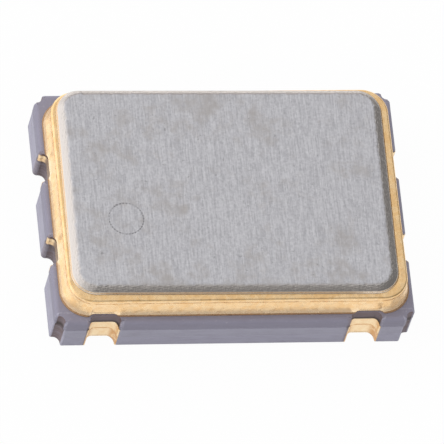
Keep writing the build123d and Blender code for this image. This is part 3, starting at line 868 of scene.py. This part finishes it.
def notchPath(width, depth, corner, edge, off, mouth):
    half = width / 2 - off
    radius = corner - off
    end = depth - off
    down = np.linspace(mouth, end - radius, notchSteps["side"], endpoint=False)
    flare = edge - np.sqrt(edge ** 2 - np.maximum(edge - down, 0) ** 2)
    left = np.stack([-half - flare, down], axis=1)
    swing = np.linspace(0, np.pi / 2, notchSteps["arc"], endpoint=False)
    bend = np.stack([-half + radius * (1 - np.cos(swing)), end - radius * (1 - np.sin(swing))], axis=1)
    across = np.linspace(radius - half, 0, notchSteps["back"] // 2 + 1)
    back = np.stack([across, np.full_like(across, end)], axis=1)
    path = np.concatenate([left, bend, back])
    return np.concatenate([path, path[-2::-1] * np.array([-1, 1])])


# Lining of one notch: a skin as thick as the plating, its inner face swollen along one crease line by a
# squared cosine; that line's tint is partly a real crease and partly painted shade, below it both sides take
# a painted shade, and the back wall carries a painted shade mark that only the side contacts keep
liningShape = {
    "thickness": 0.015, "mouth": 0.005, "round": 0.005, "bend": 0.3, "creaseReach": 0.030, "swell": 0.007,
    "rows": (5, 9, 6), "sideShade": 0.85, "sideShadeSpan": (0.45, 0.85), "backShadeSpan": (0.7, 0.95), "sideCrease": 0.4,
}


def buildLining(layer, bottom, top, crease, turn, mouth):
    s, n = liningShape, notchShape
    t, r = s["thickness"], s["round"]
    bend = s["bend"] * r
    creaseLow, creaseHigh = crease - s["creaseReach"], crease + s["creaseReach"]
    below, across, above = s["rows"]
    heights = np.concatenate([
        np.linspace(bottom + r, creaseLow, below, endpoint=False),
        np.linspace(creaseLow, creaseHigh, across),
        np.linspace(creaseHigh, top - r, above)[1:],
    ])
    near = np.clip((heights - crease) / s["creaseReach"], -1, 1)
    lift = np.cos(np.pi * near / 2) ** 2
    rows = [(t - r, bottom)] + list(zip(t + s["swell"] * lift, heights))
    rows += [(t - bend, top - bend), (t - r, top), (0, top), (0, bottom)]
    kind = layer + ("Side" if turn % 2 else "")
    wide, deep = n[layer + "Width"], n[layer + "Depth"]
    size = [wide, deep, n[kind + "Corner"], n[kind + "Edge"]]
    points = np.stack([atHeight(seat(notchPath(*size, off, s["mouth"]), turn, mouth), z) for off, z in rows])
    count, columns = points.shape[:2]
    faces = gridQuads(count, columns, closedRows=True, closedColumns=False)
    faces.append((np.arange(count) * columns).tolist())
    faces.append((np.arange(count) * columns + columns - 1)[::-1].tolist())
    path = notchPath(*size, 0, s["mouth"])
    swollen = np.concatenate([[0], lift, np.zeros(count - len(lift) - 1)])
    under = 1 - ease(np.array([z for off, z in rows]), creaseLow, creaseHigh)
    aside = ease(np.abs(path[:, 0]) / (wide / 2), *s["sideShadeSpan"])
    marks = {
        # crease line, and painted shade on both sides below it
        "crease": np.maximum(swollen[:, None], s["sideShade"] * np.outer(under, aside)),
        # painted shade mark on the back wall
        "backShade": np.tile(ease(path[:, 1] / deep, *s["backShadeSpan"]), count),
    }
    return points.reshape(-1, 3), faces, marks


# Solder pad: rounded plate under the body with the notch's mouth left open
padShape = {
    "reach": 1.15, "setback": 0.06, "corner": 0.12, "mouthCorner": 0.02, "innerCorner": 0.145,
    "edge": 0.006, "bend": 0.3, "steps": {"arc": 8, "run": 4},
}


def buildPad(half, thickness, turn, mouth):
    s = padShape
    wide = notchShape["lowerWidth"] / 2 - liningShape["thickness"]
    deep = notchShape["lowerDepth"] - liningShape["thickness"]
    radii = np.array([s["corner"], s["mouthCorner"], s["innerCorner"]])[[0, 1, 2, 2, 1, 0, 0, 0]]
    bend = s["bend"] * s["edge"]
    loops = []
    for inset, z in [(s["edge"], 0), (bend, bend), (0, s["edge"]), (0, thickness)]:
        near, far, side = s["setback"] + inset, s["reach"] - inset, half - inset
        gap, end = wide + inset, deep + inset
        corners = np.array([
            (-side, near), (-gap, near), (-gap, end), (gap, end),
            (gap, near), (side, near), (side, far), (-side, far),
        ])
        loop = roundedLoop(corners, radii, s["steps"])
        loops.append(atHeight(seat(loop, turn, mouth), z))
    shape = (len(loops), len(loops[0]))
    return np.concatenate(loops), gridQuads(*shape) + capFaces(*shape)


def buildTerminals():
    for number, (sx, sy) in enumerate(quarters, start=1):
        low, high = nodeBox(f"terminal_{number}")
        mouth = (sx * terminalAt, sy * bodyHalf[1])
        turn = 0 if sy < 0 else 2
        skin, skinFaces, marks = buildLining("lower", bodyLow[2], high[2], floorLevel, turn, mouth)
        pad, padFaces = buildPad((high[0] - low[0]) / 2, bodyLow[2], turn, mouth)
        points = np.concatenate([skin, pad])
        faces = skinFaces + [[corner + len(skin) for corner in face] for face in padFaces]
        marks = {"crease": np.append(marks["crease"], np.zeros(len(pad)))}
        name = f"solder_terminal_{number}"
        makePiece(name, points, faces, contactFinish, [f"terminal_{number}"], marks)


def buildSideContacts():
    for number, (sx, sy) in enumerate(quarters, start=1):
        low, high = nodeBox(f"side_contact_{number}")
        mouth = (sx * bodyHalf[0], sy * contactAt)
        turn = 1 if sx > 0 else 3
        middle = (low[2] + high[2]) / 2
        skin, faces, marks = buildLining("upper", low[2], high[2], middle, turn, mouth)
        marks["crease"] *= liningShape["sideCrease"]
        name = f"notch_contact_{number}"
        makePiece(name, skin, faces, contactFinish, [f"side_contact_{number}"], marks)


buildCeramic()
buildLand()
buildBraze()
buildRing()
buildLid()
buildTerminals()
buildSideContacts()


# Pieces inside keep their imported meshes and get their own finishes, by the record's slots
innerSlots = {
    "lead_": "contact_gold", "die_pad": "contact_gold", "crystal_land": "contact_gold",
    "bond_wire": "wire_gold", "electrode": "film_gold", "crystal_via": "tungsten",
    "adhesive_dot": "silver_adhesive", "die_attach": "silver_adhesive", "quartz_blank": "quartz",
    "oscillator_chip": "silicon", "chip_bond_pads": "pad_aluminium",
}
innerFinishes = {slot: innerFinish(slot) for slot in inner}
for name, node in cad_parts.items():
    for start, slot in innerSlots.items():
        if name.startswith(start):
            node.data.materials.clear()
            node.data.materials.append(innerFinishes[slot])
print("inner pieces finished")


# Camera at the photograph's angle, turned about its own axis, aimed so that the frame matches
shot = {
    "azimuth": -21.884, "elevation": 60.059, "roll": 18.571, "distance": 200.0, "focalPixels": 10399.0,
    "imagePixels": 444, "aimHeight": 0.7, "aimPixelX": 222.68, "aimPixelY": 212.06, "sensor": 36.0,
}


def makeCamera():
    azimuth, elevation, roll = (math.radians(shot[key]) for key in ("azimuth", "elevation", "roll"))
    flat = math.cos(elevation)
    back = Vector((math.sin(azimuth) * flat, -math.cos(azimuth) * flat, math.sin(elevation)))
    level = Vector((math.cos(azimuth), math.sin(azimuth), 0))
    upright = back.cross(level)
    right = level * math.cos(roll) + upright * math.sin(roll)
    top = upright * math.cos(roll) - level * math.sin(roll)
    pixel = shot["distance"] / shot["focalPixels"]
    middle = shot["imagePixels"] / 2
    aim = Vector((0, 0, shot["aimHeight"]))
    aim += right * (middle - shot["aimPixelX"]) * pixel + top * (shot["aimPixelY"] - middle) * pixel
    data = bpy.data.cameras.new("photo_camera")
    data.sensor_width = shot["sensor"]
    data.lens = shot["focalPixels"] / shot["imagePixels"] * shot["sensor"]
    camera = addObject("photo_camera", data)
    turned = Matrix((right, top, back)).transposed().to_4x4()
    camera.matrix_world = Matrix.Translation((aim + back * shot["distance"]) * mm) @ turned
    bpy.context.scene.camera = camera


# Studio: pale floor, and a white surround that is bright behind on the left, with a brighter strip low down
# behind, and dim in front and on the right, as the metal's reflections show; a soft lamp on the bright side
studio = {
    "floorSize": 1.2, "floorColour": (0.60, 0.60, 0.60, 1), "floorGlow": 0.97,
    "brightWay": (-0.75, 0.55, 0.37), "middle": 0.09, "slope": 1.45, "least": 0.20, "most": 1.25,
    "horizon": 0.6, "horizonSpan": (0.15, 0.55), "frontSpan": (0.40, 0.80),
    "stripGlow": 0.9, "stripSpan": (0.80, 0.95), "stripTop": (0.10, 0.38), "matt": 0.70, "mattSlope": 0.80,
    "lamps": {"lamp_left": ((-0.88, 0.25, 0.40), 0.40, 0.26, 2.3)},
}


# Node sheet of a world or material, with nothing on it yet
def emptySheet(owner):
    owner.use_nodes = True
    owner.node_tree.nodes.clear()
    return NodeSheet(owner.node_tree)


def makeWorld():
    s = studio
    world = bpy.data.worlds.new("studio_surround")
    sheet = emptySheet(world)
    way = sheet.node("ShaderNodeTexCoord", output="Generated")
    inputs = {0: way, 1: Vector(s["brightWay"]).normalized()}
    along = sheet.node("ShaderNodeVectorMath", {"operation": "DOT_PRODUCT"}, inputs, output="Value")
    height = sheet.node("ShaderNodeSeparateXYZ", None, {0: way}, output="Z")
    behind = sheet.node("ShaderNodeSeparateXYZ", None, {0: way}, output="Y")
    low = 1 - sheet.between(height, *s["horizonSpan"])
    low = low.atLeast(sheet.between(0 - behind, *s["frontSpan"]))
    floorward = low * (s["horizon"] - s["least"]) + s["least"]
    level = (along * s["slope"] + s["middle"]).atMost(s["most"]).atLeast(floorward)
    strip = sheet.between(behind, *s["stripSpan"]) * (1 - sheet.between(height, *s["stripTop"]))
    level = level + strip * s["stripGlow"]
    shiny = sheet.rays("Glossy", "Transmission")
    level = shiny * level + (1 - shiny) * (level * s["mattSlope"] + s["matt"])
    camera = sheet.rays("Camera")
    strength = camera + (1 - camera) * level
    inputs = {"Color": (1, 1, 1, 1), "Strength": strength}
    sheet.end("World", sheet.node("ShaderNodeBackground", None, inputs))
    bpy.context.scene.world = world


def makeFloor():
    side = studio["floorSize"] / 2
    mesh = bpy.data.meshes.new("floor")
    corners = [(-side, -side, 0), (side, -side, 0), (side, side, 0), (-side, side, 0)]
    mesh.from_pydata(corners, [], [(0, 1, 2, 3)])
    material = bpy.data.materials.new("floor_paper")
    sheet = emptySheet(material)
    paper = sheet.node("ShaderNodeBsdfDiffuse", None, {"Color": studio["floorColour"]})
    glow = sheet.node("ShaderNodeEmission", None, {"Color": (1, 1, 1, 1), "Strength": 1.0})
    share = sheet.rays("Camera", "Glossy", "Transmission") * studio["floorGlow"]
    sheet.end("Material", sheet.node("ShaderNodeMixShader", None, {0: share, 1: paper, 2: glow}))
    mesh.materials.append(material)
    floor = addObject("floor", mesh)


def makeLamps():
    for name, (way, distance, size, level) in studio["lamps"].items():
        lamp = bpy.data.lights.new(name, "AREA")
        lamp.size = size
        lamp.energy = level * math.pi * size * size
        holder = addObject(name, lamp)
        holder.visible_glossy = False    # the metal mirrors the surround only
        toLamp = Vector(way).normalized()
        holder.location = toLamp * distance
        holder.rotation_euler = toLamp.to_track_quat("Z", "Y").to_euler()


makeCamera()
makeWorld()
makeFloor()
makeLamps()
bpy.context.scene.view_settings.view_transform = "Standard"
print("studio made")
